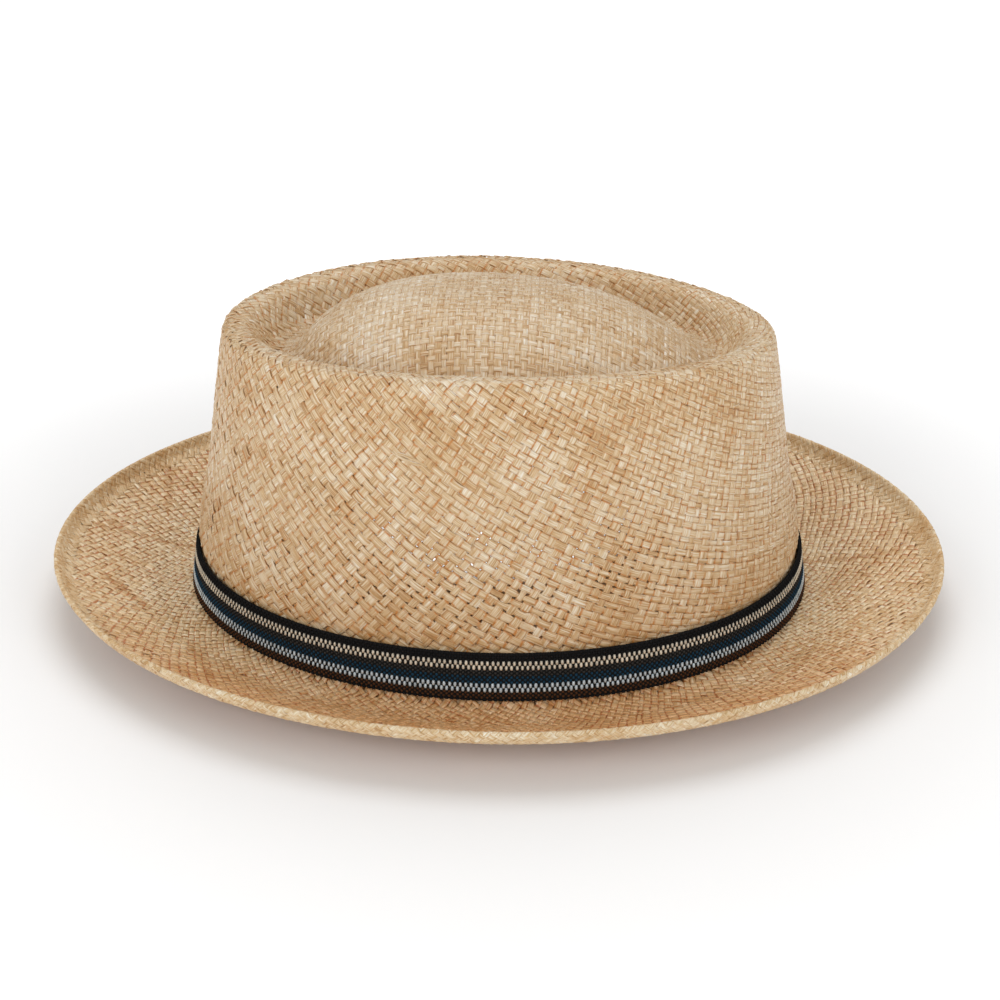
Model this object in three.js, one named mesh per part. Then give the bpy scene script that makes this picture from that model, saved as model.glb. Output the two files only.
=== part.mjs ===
// A straw porkpie hat: a blocked straw body with crown and brim in one, and a ribbon round the crown.
// Millimetres, +Z up. The hat rests on the flat ring under the foot of its crown, at z = 0.
// The long way of the head oval lies along X, with the front of the hat towards +X.

import * as THREE from "three";
import { mergeVertices } from "three/addons/utils/BufferGeometryUtils.js";

// Straw, and the number of steps round the hat
const strawThickness = 2;
const stepsRound = 60;

// Head oval, over the straw at the foot of the side wall
const headLength = 204;
const headWidth = 171;
const footFrontFullness = 0.025;

// Side wall, and the rolled rim on top of it
const rimHeight = 91;
const rimSidesRise = 3;
const wallInsetEnds = 14.5;
const wallInsetSides = 19.5;
const rimWidth = 9;
const rimRound = 6;
const rimRightRise = 2.4;
const rimFrontDrop = 1.5;
const rimFrontFullness = -0.05;

// Moat inside the rim, and the dome inside the moat
const moatBank = 9;
const moatDepth = 13;
const moatRound = 6;
const domeRise = 25;
const domePower = 3;
const domeSetBack = 5;

// Brim, from the wall outwards, and its turned-up edge
const footRound = 1.5;
const restRingWidth = 9;
const brimWidthEnds = 43.5;
const brimWidthSides = 35.6;
const brimRound = 18;
const brimRise = 11;
const brimFrontFullness = 0.02;
const hemHeight = 3.5;
const hemLean = 2;
const hemRound = 3;

// Ribbon
const bandHeight = 14;
const bandThickness = 1;
const bandGap = 0.3;
const bandLiftEnds = 1;
const bandLiftSides = 1.8;

// Stations of the dome: reach is the share of the way from its middle to the moat.
const domeStations = [
  { reach: 0 },
  { reach: 0.18 },
  { reach: 0.36 },
  { reach: 0.53 },
  { reach: 0.68 },
  { reach: 0.82 },
];

// Stations of the side wall: climb is the share of its height.
const wallStations = [
  { climb: 0.75 },
  { climb: 0.5 },
  { climb: 0.25 },
];

// The two half sections that the body is lofted through: front and back, and left and right
const endSection = {
  head: headLength / 2,
  inset: wallInsetEnds,
  rim: rimHeight,
  brim: brimWidthEnds,
  bandLift: bandLiftEnds,
};
const sideSection = {
  head: headWidth / 2,
  inset: wallInsetSides,
  rim: rimHeight + rimSidesRise,
  brim: brimWidthSides,
  bandLift: bandLiftSides,
};

// A place on the outer face of the side wall, at a share of its height
function wallAt({ head, inset, rim }, climb) {
  return {
    reach: head - inset * climb,
    height: strawThickness + (rim - strawThickness) * climb,
    fullness: THREE.MathUtils.lerp(footFrontFullness, rimFrontFullness, climb),
  };
}

// Corners of the upper face of the straw, from the middle of the dome to the edge of the brim.
// round is the radius of a corner and steps is how many faces its rounding has.
function strawCorners(section) {
  const { head, inset, rim, brim } = section;
  const rimReach = head - inset;
  const moatReach = rimReach - rimWidth - moatBank;
  const moatFloor = rimHeight - moatDepth;
  const brimTop = strawThickness + brimRise;
  const onCrown = { fullness: rimFrontFullness };
  const onBrim = { fullness: brimFrontFullness };
  return [
    ...domeStations.map(({ reach }) => ({
      reach: reach * moatReach,
      height: moatFloor + domeRise * (1 - reach ** domePower),
      setBack: domeSetBack * (1 - reach ** 2),
      ...onCrown,
    })),
    { reach: moatReach, height: moatFloor, round: moatRound, steps: 3, ...onCrown },
    { reach: rimReach - rimWidth, height: rim, round: rimRound, steps: 3, ...onCrown },
    { reach: rimReach, height: rim, round: rimRound, steps: 3, ...onCrown },
    ...wallStations.map(({ climb }) => wallAt(section, climb)),
    { ...wallAt(section, 0), round: footRound, steps: 3 },
    { reach: head + restRingWidth, height: strawThickness, round: brimRound, steps: 2, ...onBrim },
    { reach: head + brim - hemLean, height: brimTop, round: hemRound, steps: 3, ...onBrim },
    { reach: head + brim, height: brimTop + hemHeight, ...onBrim },
  ];
}

// Rounds the corners of an outline, as arcs between the two lines that meet there.
function roundCorners(corners) {
  return corners.flatMap((corner, index) => {
    if (!corner.round) {
      return [{ setBack: 0, ...corner }];
    }
    const here = new THREE.Vector2(corner.reach, corner.height);
    const before = new THREE.Vector2(corners[index - 1].reach, corners[index - 1].height).sub(here);
    const after = new THREE.Vector2(corners[index + 1].reach, corners[index + 1].height).sub(here);
    const halfAngle = Math.abs(before.angleTo(after)) / 2;
    const run = Math.min(corner.round / Math.tan(halfAngle), before.length() / 2, after.length() / 2);
    const radius = run * Math.tan(halfAngle);
    const middle = before.clone().normalize().add(after.clone().normalize()).normalize();
    const centre = here.clone().addScaledVector(middle, radius / Math.sin(halfAngle));
    const start = here.clone().addScaledVector(before.normalize(), run).sub(centre);
    const turn = (Math.PI - 2 * halfAngle) * Math.sign(-before.cross(after));
    return Array.from({ length: corner.steps + 1 }, (_, step) => {
      const point = start.clone().rotateAround(new THREE.Vector2(), (turn * step) / corner.steps).add(centre);
      return { ...corner, setBack: 0, reach: point.x, height: point.y };
    });
  });
}

// Moves an outline down by the thickness of the straw, square to its upper face.
function underside(outline) {
  return outline.map((point, index) => {
    if (index === 0) {
      return { ...point, height: point.height - strawThickness };
    }
    const along = (from, to) => new THREE.Vector2(to.reach - from.reach, to.height - from.height).normalize();
    const first = along(outline[index - 1], point);
    const second = index < outline.length - 1 ? along(point, outline[index + 1]) : first;
    const direction = first.clone().add(second).normalize();
    const depth = strawThickness / direction.dot(second);
    return {
      ...point,
      reach: point.reach + direction.y * depth,
      height: point.height - direction.x * depth,
    };
  });
}

// The closed outline of one section of the straw: underside outwards, round edge, upper face inwards
function strawOutline(section) {
  const top = roundCorners(strawCorners(section));
  const bottom = underside(top);
  const edge = top[top.length - 1];
  const lower = bottom[bottom.length - 1];
  const halfEdge = new THREE.Vector2(edge.reach - lower.reach, edge.height - lower.height).divideScalar(2);
  const tip = {
    ...edge,
    reach: lower.reach + halfEdge.x + halfEdge.y,
    height: lower.height + halfEdge.y - halfEdge.x,
  };
  return [...bottom, tip, ...top.reverse()];
}

// The closed outline of the ribbon, a plain strip that lies along the side wall
function bandOutline(section) {
  const wallRise = section.rim - strawThickness;
  const foot = wallAt(section, section.bandLift / wallRise);
  const head = wallAt(section, (section.bandLift + bandHeight) / wallRise);
  const outer = bandGap + bandThickness;
  return [
    { ...foot, reach: foot.reach + outer, setBack: 0 },
    { ...head, reach: head.reach + outer, setBack: 0 },
    { ...head, reach: head.reach + bandGap, setBack: 0 },
    { ...foot, reach: foot.reach + bandGap, setBack: 0 },
    { ...foot, reach: foot.reach + outer, setBack: 0 },
  ];
}

// Places a point of the two sections on the hat, at an angle from the front towards the left.
// The crown leans a little, in proportion to its height: up on its right side, and down at the front.
function placeOnHat(end, side, angle) {
  const across = Math.sin(angle);
  const x = end.reach * Math.cos(angle) - end.setBack;
  const y = side.reach * across * (1 + end.fullness * Math.cos(angle));
  const upright = THREE.MathUtils.lerp(end.height, side.height, across ** 2);
  const leanAlong = ((rimFrontDrop / endSection.rim) * x) / (endSection.head - endSection.inset);
  const leanAcross = ((rimRightRise / sideSection.rim) * y) / (sideSection.head - sideSection.inset);
  return new THREE.Vector3(x, y, upright * (1 - leanAlong - leanAcross));
}

// Lofts a closed outline round the hat, from one for the ends and one for the sides.
function loftRound(endOutline, sideOutline) {
  const lathe = new THREE.LatheGeometry(
    endOutline.map(({ reach, height }) => new THREE.Vector2(reach, height)),
    stepsRound,
  );
  const place = lathe.getAttribute("position");
  for (let index = 0; index < place.count; index++) {
    const step = Math.floor(index / endOutline.length) % stepsRound;
    const row = index % endOutline.length;
    const point = placeOnHat(endOutline[row], sideOutline[row], (2 * Math.PI * step) / stepsRound);
    place.setXYZ(index, point.x, point.y, point.z);
  }
  return closeUp(lathe);
}

// Joins the vertices that meet and leaves out the faces that have no area, at the middle of the dome.
function closeUp(geometry) {
  geometry.deleteAttribute("normal");
  geometry.deleteAttribute("uv");
  const merged = mergeVertices(geometry, 1e-3);
  const corners = merged.getIndex().array;
  const kept = [];
  for (let face = 0; face < corners.length; face += 3) {
    const [first, second, third] = corners.slice(face, face + 3);
    if (first !== second && second !== third && third !== first) {
      kept.push(first, second, third);
    }
  }
  merged.setIndex(kept);
  merged.computeVertexNormals();
  return merged;
}

// Straw body
const strawBody = new THREE.Mesh(
  loftRound(strawOutline(endSection), strawOutline(sideSection)),
  new THREE.MeshStandardMaterial({ color: 0xd0aa78, roughness: 0.6, metalness: 0 }),
);
strawBody.name = "straw_body";

// Ribbon
const hatBand = new THREE.Mesh(
  loftRound(bandOutline(endSection), bandOutline(sideSection)),
  new THREE.MeshStandardMaterial({ color: 0x25272e, roughness: 0.85, metalness: 0 }),
);
hatBand.name = "hat_band";

const hat = new THREE.Group();
hat.add(strawBody, hatBand);

export default hat;
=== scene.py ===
# A straw porkpie hat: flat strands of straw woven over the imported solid, and a woven ribbon round the crown.
# Sizes are in millimetres until a mesh is made. The front of the hat is towards +X and its left is +Y.

import math

import bpy
import numpy as np
from mathutils import Matrix, Vector


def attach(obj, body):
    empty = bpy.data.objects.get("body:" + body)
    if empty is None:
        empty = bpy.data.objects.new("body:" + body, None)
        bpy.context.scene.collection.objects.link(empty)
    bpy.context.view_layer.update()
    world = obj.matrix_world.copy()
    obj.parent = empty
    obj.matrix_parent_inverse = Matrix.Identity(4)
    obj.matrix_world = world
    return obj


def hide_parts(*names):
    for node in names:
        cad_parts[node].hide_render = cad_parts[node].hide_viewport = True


MM = 0.001

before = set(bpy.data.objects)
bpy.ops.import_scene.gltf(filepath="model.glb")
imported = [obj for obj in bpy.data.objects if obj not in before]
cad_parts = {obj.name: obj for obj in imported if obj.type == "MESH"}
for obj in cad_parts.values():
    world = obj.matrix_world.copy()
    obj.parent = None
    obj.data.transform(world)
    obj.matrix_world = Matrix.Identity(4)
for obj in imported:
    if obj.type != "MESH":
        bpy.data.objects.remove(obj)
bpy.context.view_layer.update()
rng = np.random.default_rng(20)

# The solid's own sizes, but for the rim's edge, which is a crisper fold
STRAW = 2.0
HEAD_ENDS, HEAD_SIDES = 102.0, 85.5
INSET_ENDS, INSET_SIDES = 14.5, 19.5
RIM_ENDS, RIM_SIDES = 91.0, 94.0
RIM_WIDTH, RIM_ROUND, RIM_EDGE_ROUND = 9.0, 6.0, 3.4
RIM_FRONT_DROP, RIM_RIGHT_RISE = 1.5, 2.4
FOOT_FULLNESS, RIM_FULLNESS, BRIM_FULLNESS = 0.025, -0.05, 0.02
MOAT_BANK, MOAT_DEPTH, MOAT_ROUND = 9.0, 13.0, 6.0
DOME_RISE, DOME_POWER, DOME_SET_BACK = 25.0, 3, 5.0
FOOT_ROUND, REST_RING = 1.5, 9.0
BRIM_ENDS, BRIM_SIDES, BRIM_ROUND, BRIM_RISE = 43.5, 35.6, 18.0, 11.0
HEM_HEIGHT, HEM_LEAN, HEM_ROUND = 3.5, 2.0, 3.0
BAND_HEIGHT, BAND_GAP = 14.0, 0.3
BAND_LIFT_ENDS, BAND_LIFT_SIDES = 1.0, 1.8

# How deep the middle of the weave lies under the upper face of the solid
WEAVE_DEPTH = 0.85

# Rows of the section: how many the dome has and how far towards the moat they go, the steps of each rounded
# corner, and where the side wall has corners, as shares of its height
DOME_ROWS, DOME_REACH = 30, 0.82
CORNER_STEPS = 12
WALL_CLIMBS = (0.75, 0.5, 0.25)


def wall_corner(head, inset, rim, climb, radius=0.0):
    return (
        head - inset * climb,
        STRAW + (rim - STRAW) * climb,
        FOOT_FULLNESS + (RIM_FULLNESS - FOOT_FULLNESS) * climb,
        0.0,
        radius,
    )


def corners_of(head, inset, rim, brim):
    """The corners of the upper face from the dome outwards: reach, height, fullness, set back and radius."""
    rim_reach = head - inset
    moat_reach = rim_reach - RIM_WIDTH - MOAT_BANK
    moat_floor = RIM_ENDS - MOAT_DEPTH
    brim_top = STRAW + BRIM_RISE
    dome = [
        (
            share * moat_reach,
            moat_floor + DOME_RISE * (1 - share**DOME_POWER),
            RIM_FULLNESS,
            DOME_SET_BACK * (1 - share**2),
            0.0,
        )
        for share in np.linspace(0, DOME_REACH, DOME_ROWS)
    ]
    return dome + [
        (moat_reach, moat_floor, RIM_FULLNESS, 0.0, MOAT_ROUND),
        (rim_reach - RIM_WIDTH, rim, RIM_FULLNESS, 0.0, RIM_ROUND),
        (rim_reach, rim, RIM_FULLNESS, 0.0, RIM_EDGE_ROUND),
        *[wall_corner(head, inset, rim, climb) for climb in WALL_CLIMBS],
        wall_corner(head, inset, rim, 0.0, FOOT_ROUND),
        (head + REST_RING, STRAW, BRIM_FULLNESS, 0.0, BRIM_ROUND),
        (head + brim - HEM_LEAN, brim_top, BRIM_FULLNESS, 0.0, HEM_ROUND),
        (head + brim, brim_top + HEM_HEIGHT, BRIM_FULLNESS, 0.0, 0.0),
    ]


def rounded(corners):
    """The rows of the section, with the corners that have a radius as arcs."""
    rows = []
    for k, (reach, height, fullness, set_back, radius) in enumerate(corners):
        if not radius:
            rows.append((reach, height, fullness, set_back))
            continue
        here = np.array([reach, height])
        before = np.array(corners[k - 1][:2]) - here
        after = np.array(corners[k + 1][:2]) - here
        long_before, long_after = np.linalg.norm(before), np.linalg.norm(after)
        before, after = before / long_before, after / long_after
        half = math.acos(np.clip(before @ after, -1, 1)) / 2
        run = min(radius / math.tan(half), long_before / 2, long_after / 2)
        middle = (before + after) / np.linalg.norm(before + after)
        centre = here + middle * run / math.cos(half)
        first, last = here + before * run - centre, here + after * run - centre
        turn = math.pi - 2 * half
        for t in np.linspace(0, 1, CORNER_STEPS + 1):
            spoke = (math.sin((1 - t) * turn) * first + math.sin(t * turn) * last) / math.sin(turn)
            rows.append((*(centre + spoke), fullness, set_back))
    return np.array(rows)


ENDS = rounded(corners_of(HEAD_ENDS, INSET_ENDS, RIM_ENDS, BRIM_ENDS))
SIDES = rounded(corners_of(HEAD_SIDES, INSET_SIDES, RIM_SIDES, BRIM_SIDES))
MEAN = (ENDS + SIDES) / 2
# Distance along the section from the middle of the dome
ALONG = np.concatenate([[0], np.cumsum(np.hypot(*np.diff(MEAN[:, :2], axis=0).T))])
TOTAL = ALONG[-1]


def place_of(corner, plain=0):
    """Where the middle of a rounded corner lies along the section. corner is its number from the moat
    outwards, and plain is how many corners without a radius come before it."""
    return ALONG[DOME_ROWS + corner * (CORNER_STEPS + 1) + plain + CORNER_STEPS // 2]


AT_MOAT, AT_RIM, AT_FOOT = place_of(0), place_of(2), place_of(3, len(WALL_CLIMBS))


def column(rows, index, s):
    return np.interp(s, ALONG, rows[:, index])


def raise_to_hat(x, y, upright):
    lean_along = RIM_FRONT_DROP / RIM_ENDS * x / (HEAD_ENDS - INSET_ENDS)
    lean_across = RIM_RIGHT_RISE / RIM_SIDES * y / (HEAD_SIDES - INSET_SIDES)
    return np.stack([x, y, upright * (1 - lean_along - lean_across)], -1)


def on_surface(angle, s):
    """A point on the upper face of the straw at an angle from the front towards the left."""
    cos, sin = np.cos(angle), np.sin(angle)
    x = column(ENDS, 0, s) * cos - column(ENDS, 3, s)
    y = column(SIDES, 0, s) * sin * (1 + column(ENDS, 2, s) * cos)
    ends, sides = column(ENDS, 1, s), column(SIDES, 1, s)
    return raise_to_hat(x, y, ends + (sides - ends) * sin**2)


def unit(vectors):
    return vectors / np.maximum(np.linalg.norm(vectors, axis=-1, keepdims=True), 1e-12)


def normal_at(angle, s):
    around = on_surface(angle + 1e-3, s) - on_surface(angle - 1e-3, s)
    near, far = np.clip(s - 0.4, 0, TOTAL), np.clip(s + 0.4, 0, TOTAL)
    down = on_surface(angle, far) - on_surface(angle, near)
    return unit(np.cross(down, around))


# Angles that share the way round the oval in equal lengths
DENSE = np.linspace(0, 2 * np.pi, 2881)
OVAL = on_surface(DENSE, np.full(DENSE.shape, AT_FOOT))
ROUND = np.concatenate([[0], np.cumsum(np.linalg.norm(np.diff(OVAL, axis=0), axis=1))])


def angle_of(share):
    whole = np.floor(share)
    return np.interp((share - whole) * ROUND[-1], ROUND, DENSE) + 2 * np.pi * whole


def way_round(s):
    """The distance round the hat at a place along the section."""
    a, b = column(ENDS, 0, s), column(SIDES, 0, s)
    return np.pi * (3 * (a + b) - np.sqrt((3 * a + b) * (a + 3 * b)))


def on_plan(x, y, first, last, mix):
    """Angle and place along the section of points of a flat sheet laid on the hat between two places, and
    whether they lie between them. mix is how much of the section's own length the sheet follows."""
    table = np.linspace(first, last, 500)

    def spans(s):
        found = []
        for rows in (ENDS, SIDES):
            length = np.concatenate([[0], np.cumsum(np.hypot(*np.diff(rows[:, :2], axis=0).T))])
            flat = np.interp(s, ALONG, rows[:, 0])
            found.append(flat + mix * (np.interp(s, ALONG, length) - flat))
        return np.maximum(found[0], 0.02), np.maximum(found[1], 0.02)

    def share(s, cos):
        a, b = spans(s)
        b = b * (1 + column(ENDS, 2, s) * cos)
        along = (x + column(ENDS, 3, s)) / a
        return np.hypot(along, y / b), np.arctan2(y / b, along)

    table_span = spans(table)[0]
    s = np.full(np.shape(x), (first + last) / 2)
    cos = np.ones(np.shape(x))
    for _ in range(30):
        rho, angle = share(s, cos)
        cos = np.cos(angle)
        s = np.interp(spans(s)[0] * rho, table_span, table)
    rho, angle = share(s, cos)
    inside = np.abs(rho - 1) < 2e-3
    return angle, s, inside


# Corners of a strand's section: across it and above its middle, as shares of half its width and thickness
FLAT_SECTION = np.array([(-1.0, -1.5), (-0.76, 1.0), (0.76, 1.0), (1.0, -1.5)])
FOLD_SECTION = np.array([(-1.0, -0.6), (-0.76, 1.0), (0.0, 1.0), (0.76, 1.0), (1.0, -0.6)])


class Strands:
    """Flat strands gathered into one mesh, each a closed strip along its own line."""

    def __init__(self, half_thickness, section=FLAT_SECTION):
        self.half_thickness, self.section = half_thickness, section
        self.points, self.lengths = [], []
        self.weave, self.tint, self.level = [], [], []

    def add(self, face, normals, depth, half_width, values):
        """face is the line on the hat's upper face, and depth how far the strip's middle lies under it."""
        if len(face) < 3:
            return
        sway, tilt, level, tint = values
        middle = face - normals * depth[:, None]
        side = unit(np.cross(normals, np.gradient(middle, axis=0)))
        up = unit(np.cross(np.gradient(middle, axis=0), side))
        middle = middle + side * (sway * half_width)[:, None]
        turned = side * np.cos(tilt)[:, None] + up * np.sin(tilt)[:, None]
        lifted = up * np.cos(tilt)[:, None] - side * np.sin(tilt)[:, None]
        across, above = self.section.T
        rings = (
            middle[:, None]
            + turned[:, None] * (half_width[:, None] * across)[..., None]
            + lifted[:, None] * (self.half_thickness * above)[None, :, None]
        )
        self.add_rings(rings, middle, half_width, level, tint)

    def add_rings(self, rings, middle, half_width, level, tint):
        """rings are the corners of the section at each station, and middle the line between them."""
        run = np.concatenate([[0], np.cumsum(np.linalg.norm(np.diff(middle, axis=0), axis=1))])
        shape, across = rings.shape[:2], self.section[:, 0]
        # The hat rests on the floor.
        rings[..., 2] = np.maximum(rings[..., 2], 0)
        self.points.append(rings.reshape(-1, 3))
        self.weave.append(
            np.stack(
                [
                    np.broadcast_to(run[:, None], shape),
                    half_width[:, None] * across,
                    np.full(shape, rng.random()),
                ],
                -1,
            ).reshape(-1, 3)
        )
        self.tint.append(np.broadcast_to(tint[:, None], shape).ravel())
        self.level.append(np.broadcast_to(level[:, None], shape).ravel())
        self.lengths.append(len(rings))

    def mesh(self, name):
        sides = len(self.section)
        quads, caps, start = [], [], 0
        ring = np.arange(sides)
        following = np.roll(ring, -1)
        for length in self.lengths:
            rows = start + sides * np.arange(length - 1)[:, None]
            quads.append(
                np.stack(
                    [rows + ring, rows + following, rows + sides + following, rows + sides + ring], -1
                ).reshape(-1, 4)
            )
            caps.append(start + ring[::-1])
            caps.append(start + sides * (length - 1) + ring)
            start += sides * length
        points = np.concatenate(self.points) * MM
        made = mesh_of(name, points, np.concatenate(quads), np.array(caps))
        add_values(made.data, "weave", "FLOAT_VECTOR", np.concatenate(self.weave))
        add_values(made.data, "tint", "FLOAT", np.concatenate(self.tint))
        add_values(made.data, "level", "FLOAT", np.concatenate(self.level))
        edge = np.tile(np.abs(self.section[:, 0]) > 0.9, len(points) // sides)
        add_values(made.data, "edge", "FLOAT", edge)
        return made


def mesh_of(name, points, *groups, material=None):
    """A smooth mesh object of the points, with faces in groups of one number of corners each."""
    data = bpy.data.meshes.new(name)
    data.vertices.add(len(points))
    data.vertices.foreach_set("co", np.asarray(points, np.float32).ravel())
    corners = np.concatenate([group.ravel() for group in groups]).astype(np.int32)
    totals = np.concatenate([np.full(len(group), group.shape[1]) for group in groups]).astype(np.int32)
    starts = np.concatenate([[0], np.cumsum(totals)[:-1]]).astype(np.int32)
    data.loops.add(len(corners))
    data.loops.foreach_set("vertex_index", corners)
    data.polygons.add(len(totals))
    data.polygons.foreach_set("loop_start", starts)
    data.polygons.foreach_set("loop_total", totals)
    data.polygons.foreach_set("use_smooth", np.ones(len(totals), bool))
    if material is not None:
        data.polygons.foreach_set("material_index", material.astype(np.int32))
    data.update(calc_edges=True)
    data.validate()
    made = bpy.data.objects.new(name, data)
    bpy.context.scene.collection.objects.link(made)
    return made


def add_values(data, name, kind, values):
    attribute = data.attributes.new(name, kind, "POINT")
    field = "vector" if kind == "FLOAT_VECTOR" else "value"
    attribute.data.foreach_set(field, np.asarray(values, np.float32).ravel())


# The wave of a strand over and under the strands that it crosses
WAVE_AT, WAVE_LIFT = np.array([-0.27, 0.27]), (1.0, 1.0)
FOLD_AT, FOLD_LIFT = np.array([-0.4, -0.2, 0.0, 0.2, 0.4]), (0.7, 0.9, 1.0, 0.9, 0.7)
# Half the thickness of a strand on each part of the hat
CROWN_STRAND, BRIM_STRAND, DOME_STRAND, HEM_STRAND = 0.13, 0.12, 0.12, 0.10
# Half widths of a strand as shares of its room, where it lies over and where it lies under
WIDTH_OVER, WIDTH_UNDER = 0.488, 0.55


def slow_noise(count, every, amount):
    """A soft random walk of that many steps, which changes over the given number of steps."""
    knots = rng.normal(0, amount, max(2, count // every + 2))
    return np.interp(np.arange(count), np.arange(len(knots)) * every, knots)


def strand_values(over, lifts=None):
    """Half widths, and then sways, tilts, levels and tints of a strand at the stations of each crossing. over
    is 1 where the strand lies over the other one and -1 where it lies under. Its level has these signs."""
    lifts = lifts or [WAVE_LIFT] * len(over)
    count, stations = len(over), [len(lift) for lift in lifts]
    width = np.where(over > 0, WIDTH_OVER, WIDTH_UNDER)
    width = width * (1 + slow_noise(count, 5, 0.05) + rng.normal(0, 0.06, count))
    sway = slow_noise(count, 3, 0.06) + rng.normal(0, 0.05, count)
    tilt = rng.normal(0, math.radians(4.5), count)
    tint = rng.normal(0, 0.6) + slow_noise(count, 6, 0.7) + rng.normal(0, 0.6, count)
    level = np.repeat(over * (1 + rng.normal(0, 0.16, count)), stations) * np.concatenate(lifts)
    width, sway, tilt, tint = np.repeat([width, sway, tilt, tint], stations, axis=1)
    return width, np.stack([sway, tilt, level, tint])


def uneven(steps, amount):
    """Places and widths of strands side by side, in steps, where no two are quite as wide."""
    edges = np.clip(rng.normal(0, amount, steps), -2 * amount, 2 * amount)
    next_edges = np.roll(edges, -1)
    return (edges + next_edges) / 2, 1 + next_edges - edges


def near(value, place, reach):
    return np.exp(-(((value - place) / reach) ** 2))


# Crown and brim weaves. direction is 1 for the strands that go towards the left on their way down or
# outwards, and -1 for the others. A share is a part of one turn round the hat.
MANY_SHARES = np.linspace(-4, 5, 9001)
ROW_UNEVENNESS = 0.11


class Weave:
    """Two families of strands that cross squarely and wind round the hat, between two places along its
    section."""

    def __init__(self, first, last, pitches, turned, swing, growth, finer_front=0.0):
        """turned and swing are how far the weave is turned from an even slant, on average and more at the
        front. With a growth of 1 the strands spread as much along the section as they do round the hat.
        finer_front is how much closer together they are at the front, and wider apart at the back."""
        self.levels = np.linspace(first, last, 500)
        middle = way_round((first + last) / 2)
        rate = (middle / way_round(self.levels)) ** growth
        climbed = np.concatenate([[0], np.cumsum((rate[1:] + rate[:-1]) / 2 * np.diff(self.levels))])
        self.climbed = climbed - climbed.mean()
        self.pitches, self.turned, self.swing, self.finer_front = pitches, turned, swing, finer_front
        self.counts, self.places = {}, {}
        for direction in (1, -1):
            sines = np.sin(self.slant(MANY_SHARES, direction)) / self.spread(MANY_SHARES)
            sums = np.concatenate([[0], np.cumsum((sines[1:] + sines[:-1]) / 2 * np.diff(MANY_SHARES))])
            sums -= np.interp(0, MANY_SHARES, sums)
            one_turn = np.interp(1, MANY_SHARES, sums)
            # An even number in both families keeps over and under in step all the way round.
            self.counts[direction] = 2 * round(one_turn * middle / pitches[direction] / 2)
            self.places[direction] = sums / one_turn * self.counts[direction]
        self.rows = {
            direction: uneven(self.counts[direction], ROW_UNEVENNESS) for direction in (1, -1)
        }

    def slant(self, share, direction):
        return math.pi / 4 - direction * (self.turned + self.swing * np.cos(2 * np.pi * share))

    def spread(self, share):
        return 1 - self.finer_front * np.cos(2 * np.pi * share)

    def number(self, share, s, direction):
        """The number, whole at the middle of a strand, of the strands of a family."""
        climb = np.interp(s, self.levels, self.climbed) / self.pitches[direction] / self.spread(share)
        level = np.interp(share, MANY_SHARES, self.places[direction])
        return level - direction * climb * np.cos(self.slant(share, direction))

    def pitch(self, share, s, direction):
        """The distance between the strands of a family."""
        step = 1e-3
        around = self.number(share + step, s, direction) - self.number(share - step, s, direction)
        down = self.number(share, s + 0.5, direction) - self.number(share, s - 0.5, direction)
        return 1 / np.hypot(around / (2 * step * way_round(s)), down)

    def line(self, number, direction):
        """Where a strand lies round the hat at each of the levels."""
        share = np.zeros(len(self.levels))
        for _ in range(16):
            climb = self.climbed / self.pitches[direction] / self.spread(share)
            climb = climb * np.cos(self.slant(share, direction))
            share = np.interp(number + direction * climb, self.places[direction], MANY_SHARES)
        return share

    def strands(self, direction):
        """Of each strand of a family, whether it lies over at each crossing, its room, and its places round
        the hat and along the section at the stations of its crossings."""
        shift, room = self.rows[direction]
        other_shift, other_room = self.rows[-direction]
        for index in range(self.counts[direction]):
            line = self.line(index + shift[index], direction)
            passed = self.number(line, self.levels, -direction) * direction
            crossed = np.arange(math.ceil(passed[0] + 0.5), math.floor(passed[-1] + 0.5)) * direction
            row = crossed % self.counts[-direction]
            middles = direction * (crossed + other_shift[row])[:, None]
            s = np.interp((middles + WAVE_AT * other_room[row][:, None]).ravel(), passed, self.levels)
            over = np.where((index + crossed) % 2 == 0, 1.0, -1.0) * direction
            yield over, room[index], np.interp(s, self.levels, line), s


def crown_warp(share, s):
    """A slight waviness of the whole weave, the same for both families."""
    turn = 2 * np.pi * share
    moved = share + 0.0017 * np.sin(3 * turn + s / 19) + 0.0008 * np.sin(8 * turn - s / 12 + 1.3)
    return moved, s + 0.6 * np.sin(5 * turn + s / 25) * np.clip((AT_FOOT - s) / 20, 0, 1)


# The open patch of the crown: how far its middle lies above the foot, and its reach along the hat and up
OPEN_ABOVE_FOOT, OPEN_ALONG, OPEN_UP = 34, 55, 18
# How open the folds of the rim are beside it, and within what reach
RIM_OPEN, RIM_OPEN_REACH = 0.8, 1.2
# How much narrower the loosest strands are there, where they lie over and where they lie under
LOOSE_OVER, LOOSE_UNDER = 0.10, 0.21


def crown_looseness(angle, s):
    """Where the weave is a little open: low on the crown's right side, and along the folds of the rim."""
    along = near(np.cos(angle) * 95, 0, OPEN_ALONG)
    where = along * near(s, AT_FOOT - OPEN_ABOVE_FOOT, OPEN_UP) * (np.sin(angle) < 0)
    return np.maximum(where, RIM_OPEN * near(s, AT_RIM, RIM_OPEN_REACH))


# The swell above the ribbon: over the whole wall, and more at a height above the foot, within a reach
SWELL, SWELL_MORE, SWELL_ABOVE_FOOT, SWELL_REACH = 0.3, 1.15, 24, 13
# How far above the foot it starts, and the distances over which it comes up there and under the rim
SWELL_START, SWELL_RISE, SWELL_UNDER_RIM = BAND_HEIGHT + 1.5, 3, 12


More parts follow.
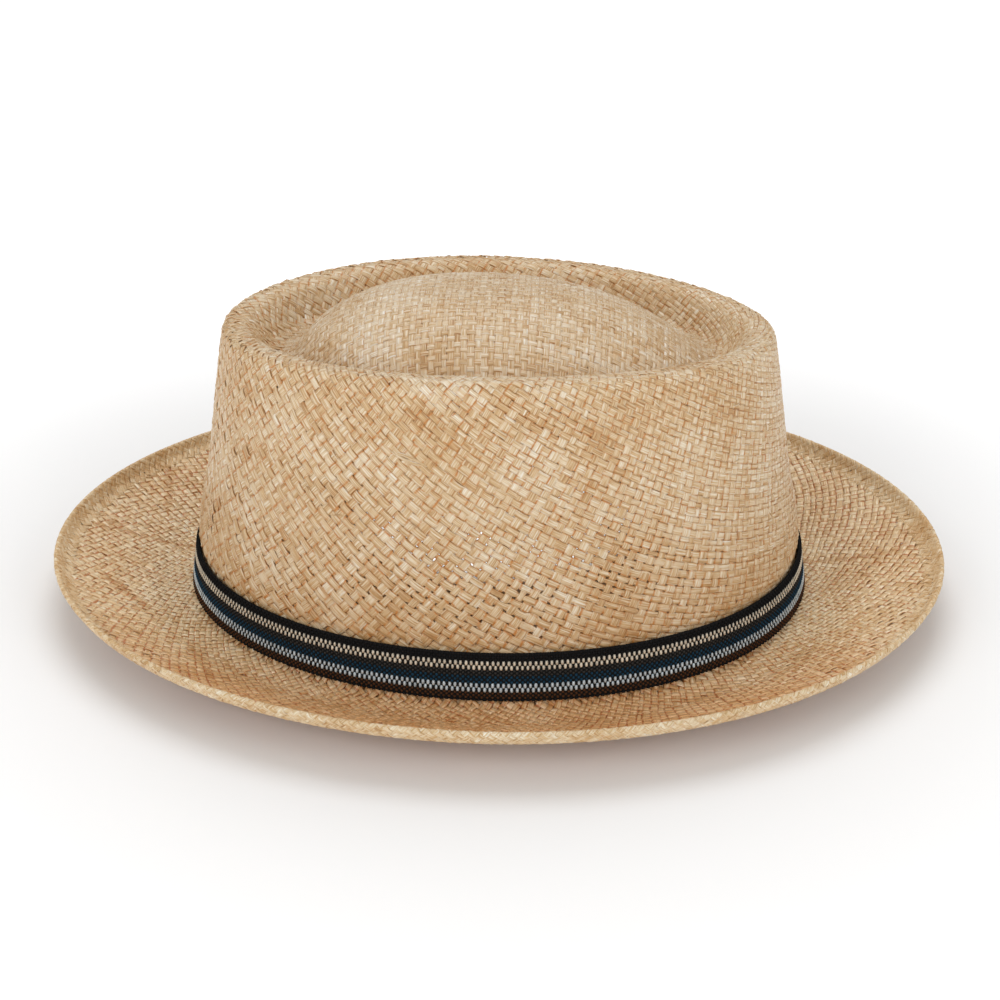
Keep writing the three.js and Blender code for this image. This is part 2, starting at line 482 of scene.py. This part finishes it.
def crown_swell(s):
    """How far the straw stands out above the ribbon, which is drawn tight round it."""
    above_band = np.clip((AT_FOOT - SWELL_START - s) / SWELL_RISE, 0, 1)
    swell = SWELL + SWELL_MORE * near(s, AT_FOOT - SWELL_ABOVE_FOOT, SWELL_REACH)
    return above_band * swell * np.clip((s - AT_RIM) / SWELL_UNDER_RIM, 0, 1)


# How much the rising strands stand out over the falling ones, and how much wider they are. On the brim the
# falling ones stand out at the back.
CROWN_PROUD, BRIM_PROUD = 0.05, 0.08
PROUD_WIDER = 0.05
# Where the crown's strands are darker: how much, the middle along the section, and the reach. In the moat and
# at the foot of the wall this is painted shade; high on the wall under the rim it is only darker.
CROWN_SHADE_AND_DARKER = [(1.3, AT_MOAT + 5, 7), (2.6, AT_FOOT, 25), (2.0, AT_RIM + 9, 9)]
# How much fuller the waves are on the rim, and how much deeper the ends lie that go under the other sheets
RIM_FULLER, RIM_FULLER_REACH = 0.8, 2.5
ENDS_DEEPER, ENDS_FROM_FOOT, ENDS_RUN = 0.65, 2.5, 1.5


def crown_family(direction):
    """The strands over the wall, the rim and into the moat, in two lots. They end under the other sheets."""
    lots = Strands(CROWN_STRAND), Strands(CROWN_STRAND)
    for index, (over, room, share, s) in enumerate(crown.strands(direction)):
        pitch = crown.pitch(share, s, direction)
        share, s = crown_warp(share, s)
        angle = angle_of(share)
        width, values = strand_values(over)
        level = values[2]
        past_end = np.maximum(s - AT_FOOT + ENDS_FROM_FOOT, AT_MOAT - s)
        deeper = ENDS_DEEPER * np.clip(past_end / ENDS_RUN, 0, 1)
        fuller = 1 + RIM_FULLER * near(s, AT_RIM, RIM_FULLER_REACH)
        chance = np.repeat(rng.gamma(1.2, 0.8, len(over)), len(WAVE_AT))
        loose = chance * crown_looseness(angle, s) * np.where(level > 0, LOOSE_OVER, LOOSE_UNDER)
        # Painted shade in the moat and at the foot of the wall, and a darker band under the rim
        values[3] -= sum(amount * near(s, place, reach) for amount, place, reach in CROWN_SHADE_AND_DARKER)
        lots[2 * index // crown.counts[direction]].add(
            on_surface(angle, s),
            normal_at(angle, s),
            WEAVE_DEPTH + deeper - crown_swell(s) - CROWN_LIFT * fuller * level - CROWN_PROUD * direction,
            width * pitch * room * (1 - loose) * (1 + PROUD_WIDER * direction),
            values,
        )
    return lots


def brim_shade(places):
    """How much darker the brim's strands are at its joints, where strands were added, and at a few flecks."""
    shade = np.zeros(len(places))
    for x0, y0, x1, y1, amount in BRIM_MARKS:
        first, way = np.array([x0, y0]), np.array([x1 - x0, y1 - y0])
        along = np.clip((places[:, :2] - first) @ way / (way @ way), 0, 1)
        away = np.linalg.norm(places[:, :2] - first - along[:, None] * way, axis=1)
        shade = np.maximum(shade, amount * near(away, 0, MARK_REACH))
    return shade


def brim_family(direction):
    """The strands of the brim. Their outer ends lie under the hem."""
    strands = Strands(BRIM_STRAND)
    for over, room, share, s in brim.strands(direction):
        pitch = brim.pitch(share, s, direction)
        # A slight waviness, the same for both families
        warp = 0.002 * np.sin(6 * np.pi * share + s / 9) + 0.001 * np.sin(14 * np.pi * share)
        angle = angle_of(share + warp)
        width, values = strand_values(over)
        face = on_surface(angle, s)
        values[3] -= brim_shade(face)
        proud = direction * np.cos(angle)
        strands.add(
            face,
            normal_at(angle, s),
            WEAVE_DEPTH - BRIM_LIFT * values[2] - BRIM_PROUD * proud,
            width * pitch * room * (1 + PROUD_WIDER * proud),
            values,
        )
    return strands


def lines_of(reach, pitch, amount):
    """Places and widths of the strands of a flat sheet, side by side from one end of it to the other."""
    places = np.arange(-reach, reach, pitch)
    shift, share = uneven(len(places), amount)
    return places + shift * pitch, pitch * share


def dome_family(lines, crossing, parity):
    """One family of the dome's strands, a flat sheet laid on it. They lie at lines and cross the strands at
    crossing."""
    strands = Strands(DOME_STRAND)
    along_x = parity > 0
    stations = (crossing[0][:, None] + WAVE_AT * crossing[1][:, None]).ravel()
    for row, (place, room) in enumerate(zip(*lines)):
        over = np.where((np.arange(len(crossing[0])) + row) % 2 == 0, 1.0, -1.0) * parity
        width, values = strand_values(over)
        beside = np.full(len(stations), place)
        x, y = (stations, beside) if along_x else (beside, stations)
        angle, s, inside = on_plan(*dome_bend(x, y), 0.0, AT_MOAT + 0.5, DOME_MIX)
        edges = np.flatnonzero(np.diff(np.concatenate([[False], inside, [False]]).astype(int)))
        for begin, end in edges.reshape(-1, 2):
            part = slice(begin, end)
            strands.add(
                on_surface(angle[part], s[part]),
                normal_at(angle[part], s[part]),
                WEAVE_DEPTH - DOME_LIFT * values[2, part],
                width[part] * room,
                values[:, part],
            )
    return strands


def dome_bend(x, y):
    """A slight waviness of the dome's sheet."""
    return x + 1.2 * np.sin(y / 31 + 0.6), y + 1.6 * np.sin(x / 37 + 2.1)


crown = Weave(
    first=AT_MOAT - 5.0,
    last=AT_FOOT + 6.0,
    pitches={1: 2.2, -1: 2.98},
    turned=math.radians(13),
    swing=math.radians(19),
    growth=0.0,
    finer_front=0.15,
)
brim = Weave(
    first=AT_FOOT - 2.0,
    last=TOTAL - 0.3,
    pitches={1: 2.1, -1: 2.25},
    turned=math.radians(15),
    swing=0.0,
    growth=1.0,
)
# The dome's sheet: half its size, the pitches along and across, the unevenness of its rows, and how much of
# the section's own length it follows
DOME_HALF, DOME_PITCHES, DOME_UNEVENNESS, DOME_MIX = 96.0, (1.95, 2.05), 0.09, 0.5
# How far the strands go over and under
CROWN_LIFT, DOME_LIFT, BRIM_LIFT = 0.18, 0.13, 0.23
# Two ends of each mark on the brim, and how much darker it is, within a reach
MARK_REACH = 1.4
BRIM_MARKS = [
    (-138, 12, -106, 15, 7.0),
    (-126, 80, -118, 32, 5.0),
    (-96, -52, -85, -80, 5.0),
    (103, 6, 138, -2, 4.5),
    (-129, -19, -114, -32, 9.0),
]

pieces = {}
for word, direction in (("rising", 1), ("falling", -1)):
    lots = crown_family(direction)
    pieces[f"straw_crown_{word}_front"], pieces[f"straw_crown_{word}_back"] = lots
    pieces[f"straw_brim_{word}"] = brim_family(direction)
dome_long, dome_cross = (lines_of(DOME_HALF, pitch, DOME_UNEVENNESS) for pitch in DOME_PITCHES)
pieces["straw_dome_long"] = dome_family(dome_long, dome_cross, 1)
pieces["straw_dome_cross"] = dome_family(dome_cross, dome_long, -1)


# A thick place of one strand high on the crown's right side, as two pieces beside each other
SLUB_ANGLES, SLUB_LEVELS = (-110, -103), (AT_RIM + 20, AT_RIM + 23.5)
SLUB_WIDTH, SLUB_LIFT = 0.55, 0.40
# Loose fibres all over the side wall, about this far from the hat's middle
LOOSE_FIBRES, FIBRE_WIDTH, FIBRE_LIFT, FIBRE_AWAY = 40, 0.17, 0.45, 85
# How deep a loose piece lies under the face of the solid, and how high its level is for the material
LOOSE_DEPTH, LOOSE_LEVEL = 0.80, 0.9


def add_loose(strands, angles, levels, bow, width, lift, tint):
    """A loose piece of straw that lies on the weave and rises a little in its middle."""
    way = np.linspace(0, 1, 9)
    arch = np.sin(np.pi * way)
    angle = np.radians(angles[0] + (angles[1] - angles[0]) * way)
    s = levels[0] + (levels[1] - levels[0]) * way + bow * arch
    values = np.zeros((4, len(way)))
    values[2], values[3] = LOOSE_LEVEL, tint
    half_width = width * (0.35 + 0.65 * arch)
    depth = LOOSE_DEPTH - lift * arch - crown_swell(s)
    strands.add(on_surface(angle, s), normal_at(angle, s), depth, half_width, values)


loose_in = pieces["straw_crown_rising_back"]
for bow, tint in ((-0.65, -2.0), (0.65, 0.0)):
    add_loose(loose_in, SLUB_ANGLES, SLUB_LEVELS, bow, SLUB_WIDTH, SLUB_LIFT, tint)
for _ in range(LOOSE_FIBRES):
    angle, s, turn = rng.uniform(-180, 180), rng.uniform(AT_RIM + 8, AT_FOOT - 18), rng.uniform(0, math.pi)
    reach = rng.uniform(1.5, 2.6)
    aside, down = math.degrees(reach * math.cos(turn) / FIBRE_AWAY), reach * math.sin(turn)
    bow, tint = rng.normal(0, 0.4), rng.normal(0.5, 1.0)
    angles, levels = (angle - aside, angle + aside), (s - down, s + down)
    add_loose(loose_in, angles, levels, bow, FIBRE_WIDTH, FIBRE_LIFT, tint)

# Hem: the same weave folded over the edge of the brim, along its upper face, round the edge and back below
HEM_STRANDS = 300
HEM_ABOVE, HEM_BELOW = 6.6, 6.0
# The radius of the fold and its length, and how deep its middle lies under the face of the solid
HEM_LAYER = 0.62
HEM_FOLD = math.pi * HEM_LAYER
HEM_DEPTH = 1.0
HEM_FULLNESS, HEM_LIFT = 1.06, 0.08
# How deep the hem's inner end is sunk into the brim, and over what distance
HEM_SUNK, HEM_SUNK_RUN = 0.42, 2.0
# How many crossings to each side of the edge are bent
HEM_BENT = 1.3
# The cosine of 45 degrees, at which the strands lie
HEM_SLANT = math.sqrt(0.5)


def on_hem(angle, q):
    """A point in the middle of the folded straw, and its outward direction, q along the fold."""
    beyond = np.clip((q - HEM_ABOVE) / HEM_FOLD, 0, 1) * np.pi
    s = np.where(q < HEM_ABOVE, TOTAL - HEM_ABOVE + q, TOTAL)
    s = np.where(q > HEM_ABOVE + HEM_FOLD, TOTAL - (q - HEM_ABOVE - HEM_FOLD), s)
    face, normal = on_surface(angle, s), normal_at(angle, s)
    tip = np.full(np.shape(s), TOTAL)
    outward = unit(on_surface(angle, tip) - on_surface(angle, tip - 0.6))
    cos, sin = np.cos(beyond)[..., None], np.sin(beyond)[..., None]
    middle = face - normal * (HEM_DEPTH - HEM_LAYER * cos) + outward * HEM_LAYER * sin
    return middle, unit(normal * cos + outward * sin)


def hem_family(direction):
    """Strands that are bent across as well as along, where they go round the edge."""
    strands = Strands(HEM_STRAND, FOLD_SECTION)
    across, above = FOLD_SECTION.T
    length = HEM_ABOVE + HEM_FOLD + HEM_BELOW
    spacing = way_round(TOTAL) / HEM_STRANDS
    crossings = np.arange(0, int(2 * length / spacing))
    edge = (HEM_ABOVE + HEM_FOLD / 2) * 2 / spacing - 0.5
    bent = np.abs(crossings - edge) < HEM_BENT
    lifts = [FOLD_LIFT if at_edge else WAVE_LIFT for at_edge in bent]
    steps = [FOLD_AT if at_edge else WAVE_AT for at_edge in bent]
    stations = np.concatenate([crossing + 0.5 + step for crossing, step in zip(crossings, steps)])
    q = stations * spacing / 2
    sunk = HEM_SUNK * np.clip(1 - q / HEM_SUNK_RUN, 0, 1)
    over = np.where(crossings % 2 == 0, 1.0, -1.0) * direction
    for index in range(HEM_STRANDS):
        width, (sway, tilt, level, tint) = strand_values(over, lifts)
        share = (index + rng.normal(0, 0.04) + direction * (stations - 0.5) / 2) / HEM_STRANDS
        half_width = width * HEM_FULLNESS * spacing * HEM_SLANT
        aside = half_width[:, None] * (across + sway[:, None])
        shares = share[:, None] + aside * HEM_SLANT / way_round(TOTAL)
        middles, normals = on_hem(angle_of(shares), q[:, None] - direction * aside * HEM_SLANT)
        rise = (HEM_LIFT * level - sunk)[:, None] + tilt[:, None] * aside + strands.half_thickness * above
        strands.add_rings(middles + normals * rise[..., None], middles.mean(1), half_width, level, tint)
    return strands


for word, direction in (("rising", 1), ("falling", -1)):
    pieces[f"straw_hem_{word}"] = hem_family(direction)

# Ribbon: its columns of stitches, and how far its two faces and the middle between them are off the wall
RIBBON_COLUMNS = 372
RIBBON_INNER, RIBBON_OUTER = BAND_GAP + 0.05, BAND_GAP + 0.8
RIBBON_MIDDLE = 0.5 * (RIBBON_INNER + RIBBON_OUTER)


def on_band(angle, up, out):
    """A point at a height up the ribbon, outside the wall."""
    cos, sin = np.cos(angle), np.sin(angle)
    climb_ends = (BAND_LIFT_ENDS + up) / (RIM_ENDS - STRAW)
    climb_sides = (BAND_LIFT_SIDES + up) / (RIM_SIDES - STRAW)
    fullness = FOOT_FULLNESS + (RIM_FULLNESS - FOOT_FULLNESS) * climb_ends
    x = (HEAD_ENDS - INSET_ENDS * climb_ends + out) * cos
    y = (HEAD_SIDES - INSET_SIDES * climb_sides + out) * sin * (1 + fullness * cos)
    ends = STRAW + BAND_LIFT_ENDS + up
    sides = STRAW + BAND_LIFT_SIDES + up
    return raise_to_hat(x, y, ends + (sides - ends) * sin**2)


def ribbon_base():
    """The ribbon's ground, a thin closed strip with rounded edges."""
    around = 2 * RIBBON_COLUMNS
    angle = angle_of(np.arange(around) / around)
    rib = 0.04 * np.cos(np.pi * np.arange(around))
    profile = [
        (0.12, RIBBON_INNER),
        (0.0, RIBBON_MIDDLE),
        (0.15, RIBBON_OUTER),
        *[(up, RIBBON_OUTER) for up in np.linspace(1.2, BAND_HEIGHT - 1.2, 10)],
        (BAND_HEIGHT - 0.15, RIBBON_OUTER),
        (BAND_HEIGHT, RIBBON_MIDDLE),
        (BAND_HEIGHT - 0.12, RIBBON_INNER),
        *[(up, RIBBON_INNER) for up in np.linspace(BAND_HEIGHT - 3, 3, 4)],
    ]
    points = np.stack([on_band(angle, up, out + rib * (out > RIBBON_MIDDLE)) for up, out in profile])
    rows, columns = points.shape[:2]
    index = np.arange(rows * columns).reshape(rows, columns)
    below = np.roll(index, -1, 0)
    quads = np.stack([index, np.roll(index, -1, 1), np.roll(below, -1, 1), below], -1).reshape(-1, 4)
    return mesh_of("ribbon_ground", points.reshape(-1, 3) * MM, quads[:, ::-1])


# Rows of stitches from the ribbon's lower edge upwards: how many rows, the height of one, the share of a
# column that a stitch is wide, and its thread
STITCH_ROWS = [
    (1, 0.70, 0.80, "black"),
    (3, 0.65, 0.58, "brown"),
    (2, 1.26, 0.60, "ice"),
    (3, 0.74, 0.60, "navy"),
    (3, 0.60, 0.58, "grey"),
    (2, 1.26, 0.60, "cream"),
    (3, 0.77, 0.80, "black"),
]
THREADS = ["black", "brown", "ice", "navy", "grey", "cream"]
# How far a stitch's foot and its ridge stand out of the ribbon's ground
STITCH_FOOT, STITCH_RIDGE = 0.02, 0.34
# Half the height of a stitch, as a share of its row
STITCH_HALF = 0.56


def stitches():
    """Every stitch of the ribbon: a small closed pillow with six corners round it and a ridge on it."""
    outline = np.array([(0.7, 1), (1, 0), (0.7, -1), (-0.7, -1), (-1, 0), (-0.7, 1)], float)
    ridge = np.array([(0, 0.5), (0, -0.5)])
    shape = np.concatenate([outline, ridge])
    out = np.repeat([0.0, STITCH_RIDGE], [len(outline), len(ridge)])
    triangles = np.array(
        [(0, 6, 1), (1, 6, 7), (1, 7, 2), (5, 4, 6), (4, 7, 6), (4, 3, 7), (0, 5, 6), (3, 2, 7)]
    )
    base = np.array([(0, 1, 2, 3, 4, 5)])
    points, tint, threads, up, row = [], [], [], 0.0, 0
    for rows, tall, wide, thread in STITCH_ROWS:
        for _ in range(rows):
            centre = (np.arange(RIBBON_COLUMNS) + 0.5 * (row % 2)) / RIBBON_COLUMNS
            centre = centre + rng.normal(0, 0.03, RIBBON_COLUMNS) / RIBBON_COLUMNS
            size = 1 + rng.normal(0, 0.04, (RIBBON_COLUMNS, 1))
            share = centre[:, None] + size * shape[:, 0] * wide / 2 / RIBBON_COLUMNS
            height = up + tall / 2 + size * shape[:, 1] * tall * STITCH_HALF
            points.append(on_band(angle_of(share), height, RIBBON_OUTER + STITCH_FOOT + out))
            tint.append(np.repeat(rng.normal(0, 1, RIBBON_COLUMNS), len(shape)))
            threads.append(THREADS.index(thread))
            up += tall
            row += 1
    points = np.concatenate(points).reshape(-1, 3)
    starts = np.arange(len(points) // len(shape))[:, None, None] * len(shape)
    groups = [(starts + faces).reshape(-1, faces.shape[1]) for faces in (triangles, base)]
    of_stitch = np.repeat(threads, RIBBON_COLUMNS)
    material = np.concatenate([np.repeat(of_stitch, len(faces)) for faces in (triangles, base)])
    made = mesh_of("ribbon_stitches", points * MM, *groups, material=material)
    add_values(made.data, "tint", "FLOAT", np.concatenate(tint))
    return made


# Materials


def material(name, **values):
    """A new node material, its tree, a helper that adds and links nodes, and its shader."""
    made = bpy.data.materials.new(name)
    made.use_nodes = True
    tree = made.node_tree
    shader = tree.nodes["Principled BSDF"]
    for key, value in values.items():
        shader.inputs[key.replace("_", " ")].default_value = value

    def node(kind, inputs=(), **settings):
        new = tree.nodes.new("ShaderNode" + kind)
        for key, value in settings.items():
            setattr(new, key, value)
        for key, value in dict(inputs).items():
            if isinstance(value, bpy.types.NodeSocket):
                tree.links.new(value, new.inputs[key])
            else:
                new.inputs[key].default_value = value
        return new

    return made, tree, node, shader


def ramp(node, value, stops):
    """The colour of a value between stops, each with a place and a colour."""
    new = node("ValToRGB", {"Fac": value})
    elements = new.color_ramp.elements
    elements[0].position, elements[0].color = stops[0][0], (*stops[0][1], 1)
    elements[1].position, elements[1].color = stops[-1][0], (*stops[-1][1], 1)
    for place, colour in stops[1:-1]:
        elements.new(place).color = (*colour, 1)
    return new.outputs["Color"]


STRAW_ROUGHNESS = 0.5
# Metres to the right of the hat's middle between which the right side's shares take over: painted shade that
# makes the brim browner there, and painted light that makes the hem paler
PAINTED_RIGHT_FROM, PAINTED_RIGHT_TO = -0.035, -0.118
# Weights of the tint and of the noises in the straw's colour
TINT_WEIGHT, FIBRE_WEIGHT, PATCH_WEIGHT, WHOLE_WEIGHT = 0.06, 1.90, 0.50, 0.55
# Painted shade at a strand's edges and towards the ends where it goes under the next, where shadows fall
# between strands: its strength at the edges, and the noise values between which it goes from its least to its
# most
SHADE_EDGES, SHADE_FROM, SHADE_TO, SHADE_LEAST, SHADE_MOST = 0.75, 0.42, 0.66, 0.1, 1.1


def straw_material(name, shares, right_painted_shares, edge_shade_strength, painted_shade_colour=(0.52, 0.20, 0.04), coat=0.15):
    """shares are how much of each colour channel there is, and the right shares the same on the hat's far
    right but for what faces down, which paints shade on the brim and light on the hem there.
    The edge strength is how strong the painted shade is at the strands' edges and where they go under, and the
    shade colour is its colour."""
    made, tree, node, shader = material(
        name, Roughness=STRAW_ROUGHNESS, Coat_Weight=coat, Coat_Roughness=0.22
    )
    weave = node("SeparateXYZ", {"Vector": node("Attribute", attribute_name="weave").outputs["Vector"]})
    tint, level, edge = (
        node("Attribute", attribute_name=word).outputs["Fac"] for word in ("tint", "level", "edge")
    )
    along, across, seed = (weave.outputs[axis] for axis in "XYZ")

    def math_of(operation, *values):
        return node("Math", dict(enumerate(values)), operation=operation).outputs[0]

    def noise_at(length, width, detail, shift):
        """Noise with features of that length and width in millimetres on a strand."""
        place = node(
            "CombineXYZ",
            {
                "X": math_of("MULTIPLY", along, 1 / length),
                "Y": math_of("MULTIPLY", across, 1 / width),
                "Z": math_of("MULTIPLY_ADD", seed, 173.0, shift),
            },
        )
        return node("TexNoise", {"Vector": place.outputs[0], "Scale": 1.0, "Detail": detail}).outputs["Fac"]

    fibres = noise_at(9.0, 0.34, 3.0, 0.0)
    patches = noise_at(5.0, 1.6, 2.0, 31.0)
    whole = node("TexNoise", {"Scale": 42.0, "Detail": 2.0})
    tree.links.new(node("TexCoord").outputs["Object"], whole.inputs["Vector"])
    value = math_of("MULTIPLY_ADD", tint, TINT_WEIGHT, 0.5)
    noises = ((fibres, FIBRE_WEIGHT), (patches, PATCH_WEIGHT), (whole.outputs["Fac"], WHOLE_WEIGHT))
    for noise, weight in noises:
        value = math_of("ADD", value, math_of("MULTIPLY_ADD", noise, weight, -weight / 2))
    # Painted shade: strands are browner at their edges and towards the ends where they go under the next
    # strand, where shadows fall between strands, unevenly along each strand
    height = math_of("MINIMUM", math_of("ABSOLUTE", level), 1.0)
    ends = math_of("POWER", math_of("SUBTRACT", 1.0, height), 2.0)
    painted_shade = math_of("MAXIMUM", math_of("MULTIPLY", math_of("POWER", edge, 1.5), SHADE_EDGES), ends)
    shade_patchiness = noise_at(2.2, 3.0, 1.0, 57.0)
    shade_patchiness = node(
        "MapRange",
        {"Value": shade_patchiness, 1: SHADE_FROM, 2: SHADE_TO, 3: SHADE_LEAST * edge_shade_strength, 4: SHADE_MOST * edge_shade_strength},
    )
    painted_shade = math_of("MULTIPLY", painted_shade, shade_patchiness.outputs["Result"])
    mixed = node("Mix", data_type="RGBA")
    tree.links.new(math_of("MINIMUM", painted_shade, 1.0), mixed.inputs["Factor"])
    tree.links.new(ramp(node, value, STRAW_STOPS), mixed.inputs[6])
    mixed.inputs[7].default_value = (*painted_shade_colour, 1)
    # Painted shade and light on the hat's right, the side towards the camera, on all but what faces down: a
    # browner brim and a paler hem
    on_hat = node("TexCoord").outputs
    across_hat = node("SeparateXYZ", {"Vector": on_hat["Object"]}).outputs["Y"]
    upward = node("SeparateXYZ", {"Vector": on_hat["Normal"]}).outputs["Z"]
    right_painted_mask = node(
        "MapRange",
        {"Value": across_hat, 1: PAINTED_RIGHT_FROM, 2: PAINTED_RIGHT_TO, 3: 0.0, 4: 1.0},
        interpolation_type="SMOOTHSTEP",
    ).outputs["Result"]
    upper = node("MapRange", {"Value": upward, 1: -0.5, 2: 0.0, 3: 0.0, 4: 1.0}).outputs["Result"]
    right_painted_mask = math_of("MULTIPLY", right_painted_mask, upper)
    shade = node("Mix", {"Factor": right_painted_mask, 6: (*shares, 1), 7: (*right_painted_shares, 1)}, data_type="RGBA")
    shaded = node("Mix", {"Factor": 1.0}, data_type="RGBA", blend_type="MULTIPLY")
    tree.links.new(mixed.outputs[2], shaded.inputs[6])
    tree.links.new(shade.outputs[2], shaded.inputs[7])
    tree.links.new(shaded.outputs[2], shader.inputs["Base Color"])
    gloss = math_of("MULTIPLY_ADD", patches, 0.5, STRAW_ROUGHNESS - 0.25)
    tree.links.new(gloss, shader.inputs["Roughness"])
    bump = node("Bump", {"Height": fibres, "Strength": 0.8, "Distance": 0.00025})
    tree.links.new(bump.outputs["Normal"], shader.inputs["Normal"])
    return made


def thread_material(name, colour, spread):
    """spread is how much darker and lighter than the colour the stitches get."""
    made, tree, node, shader = material(name, Roughness=0.9, Specular_IOR_Level=0.2)
    tint = node("Attribute", attribute_name="tint").outputs["Fac"]
    fuzz = node("TexNoise", {"Scale": 2600.0, "Detail": 2.0})
    tree.links.new(node("TexCoord").outputs["Object"], fuzz.inputs["Vector"])
    value = node("Math", {0: tint, 1: 0.10, 2: fuzz.outputs["Fac"]}, operation="MULTIPLY_ADD").outputs[0]
    dark = tuple(c * (1 - spread) for c in colour)
    light = tuple(min(1.0, c * (1 + spread)) for c in colour)
    tree.links.new(ramp(node, value, [(0.2, dark), (0.8, light)]), shader.inputs["Base Color"])
    bump = node("Bump", {"Height": fuzz.outputs["Fac"], "Strength": 0.5, "Distance": 0.0001})
    tree.links.new(bump.outputs["Normal"], shader.inputs["Normal"])
    return made


STRAW_STOPS = [
    (0.0, (0.40, 0.19, 0.06)),
    (0.28, (0.57, 0.35, 0.15)),
    (0.5, (0.68, 0.49, 0.28)),
    (0.72, (0.76, 0.61, 0.41)),
    (1.0, (0.86, 0.78, 0.64)),
]
# The brown at the strands' edges and under-ends is painted shade, as is the brim's browner right side; the
# hem's paler right side is painted light
straw_looks = {
    "crown": straw_material("straw_crown", (0.97, 1.0, 1.05), (0.97, 1.0, 1.05), 1.35),
    "dome": straw_material("straw_dome", (0.97, 1.01, 1.10), (0.97, 1.01, 1.10), 0.6),
    "brim": straw_material(
        "straw_brim", (1.12, 1.13, 1.09), (1.10, 0.84, 0.60), 1.9, painted_shade_colour=(0.44, 0.15, 0.03), coat=0.5
    ),
    "hem": straw_material("straw_hem", (1.08, 1.08, 1.05), (1.02, 1.08, 1.14), 0.5),
}
thread_colours = {
    "black": (0.006, 0.006, 0.007),
    "brown": (0.075, 0.029, 0.010),
    "ice": (0.54, 0.61, 0.65),
    "navy": (0.008, 0.040, 0.075),
    "grey": (0.036, 0.034, 0.032),
    "cream": (0.70, 0.63, 0.51),
}

for name, strands in pieces.items():
    piece = strands.mesh(name)
    piece.data.materials.append(straw_looks[name.split("_")[1]])
    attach(piece, "root")
    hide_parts("straw_body")

ground = ribbon_base()
ground.data.materials.append(thread_material("ribbon_ground", (0.005, 0.005, 0.005), 0.4))
threads = stitches()
for thread in THREADS:
    threads.data.materials.append(thread_material(f"thread_{thread}", thread_colours[thread], 0.25))
for piece in (ground, threads):
    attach(piece, "root")
    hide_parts("hat_band")

# Floor, lights and camera, in metres
FLOOR_HALF = 40
# The floor's glow away from the hat: the distances between which it grows, and its strength
GLOW_FROM, GLOW_TO, GLOW = 0.12, 0.4, 0.5
# A glow of the floor under the crown, which shows white through the open places of the weave: its middle, the
# distances between which it fades, and its strength
UNDER_MIDDLE, UNDER_FROM, UNDER_TO, UNDER_GLOW = (0.0, 0.045, 0.0), 0.04, 0.054, 1.6

floor_data = bpy.data.meshes.new("floor")
floor_corners = [(FLOOR_HALF * x, FLOOR_HALF * y, 0) for x, y in ((-1, -1), (1, -1), (1, 1), (-1, 1))]
floor_data.from_pydata(floor_corners, [], [(0, 1, 2, 3)])
floor = bpy.data.objects.new("floor", floor_data)
bpy.context.scene.collection.objects.link(floor)
floor_material, floor_tree, floor_node, floor_shader = material("floor", Roughness=0.8)
floor_shader.inputs["Base Color"].default_value = (0.90, 0.90, 0.90, 1)
floor_shader.inputs["Emission Color"].default_value = (1, 1, 1, 1)
floor_place = floor_node("TexCoord").outputs["Object"]
floor_away = floor_node("VectorMath", {0: floor_place}, operation="LENGTH")
under_away = floor_node("VectorMath", {0: floor_place, 1: UNDER_MIDDLE}, operation="DISTANCE")
floor_glow, under_glow = (
    floor_node(
        "MapRange", {"Value": away.outputs["Value"], 1: start, 2: end, 3: first, 4: last}
    ).outputs["Result"]
    for away, start, end, first, last in (
        (floor_away, GLOW_FROM, GLOW_TO, 0.0, GLOW),
        (under_away, UNDER_FROM, UNDER_TO, UNDER_GLOW, 0.0),
    )
)
floor_light = floor_node("Math", {0: floor_glow, 1: under_glow}, operation="MAXIMUM").outputs[0]
floor_tree.links.new(floor_light, floor_shader.inputs["Emission Strength"])
floor_data.materials.append(floor_material)

world = bpy.data.worlds.new("studio")
world.use_nodes = True
world.node_tree.nodes["Background"].inputs["Color"].default_value = (1, 1, 1, 1)
world.node_tree.nodes["Background"].inputs["Strength"].default_value = 0.42
bpy.context.scene.world = world


def softbox(name, place, size, power):
    """A round lamp that faces the hat, of that width in metres and power in watts."""
    data = bpy.data.lights.new(name, "AREA")
    data.shape, data.size, data.energy = "DISK", size, power
    lamp = bpy.data.objects.new(name, data)
    lamp.location = place
    lamp.rotation_euler = (Vector((0, 0, 0.04)) - Vector(place)).to_track_quat("-Z", "Y").to_euler()
    bpy.context.scene.collection.objects.link(lamp)


softbox("key", (-0.82, -0.89, 0.62), 0.9, 5.9)
softbox("fill", (0.91, -0.84, 0.58), 0.9, 4.8)
softbox("back", (0.0, 0.55, 1.4), 1.2, 9.0)

# The camera of the photo, fitted to the hat's outline
CAMERA_AWAY, CAMERA_UP, CAMERA_ROLL = 0.55, math.radians(26.4), math.radians(0.2)
camera_data = bpy.data.cameras.new("camera")
camera_data.lens = 59.25
camera = bpy.data.objects.new("camera", camera_data)
target = Vector((0.0003, 0.0, 0.0271))
camera.location = target + Vector((0.0, -math.cos(CAMERA_UP), math.sin(CAMERA_UP))) * CAMERA_AWAY
look = (target - camera.location).to_track_quat("-Z", "Y").to_matrix()
camera.rotation_euler = (look @ Matrix.Rotation(CAMERA_ROLL, 3, "Z")).to_euler()
bpy.context.scene.collection.objects.link(camera)
bpy.context.scene.camera = camera
bpy.context.scene.view_settings.view_transform = "Standard"
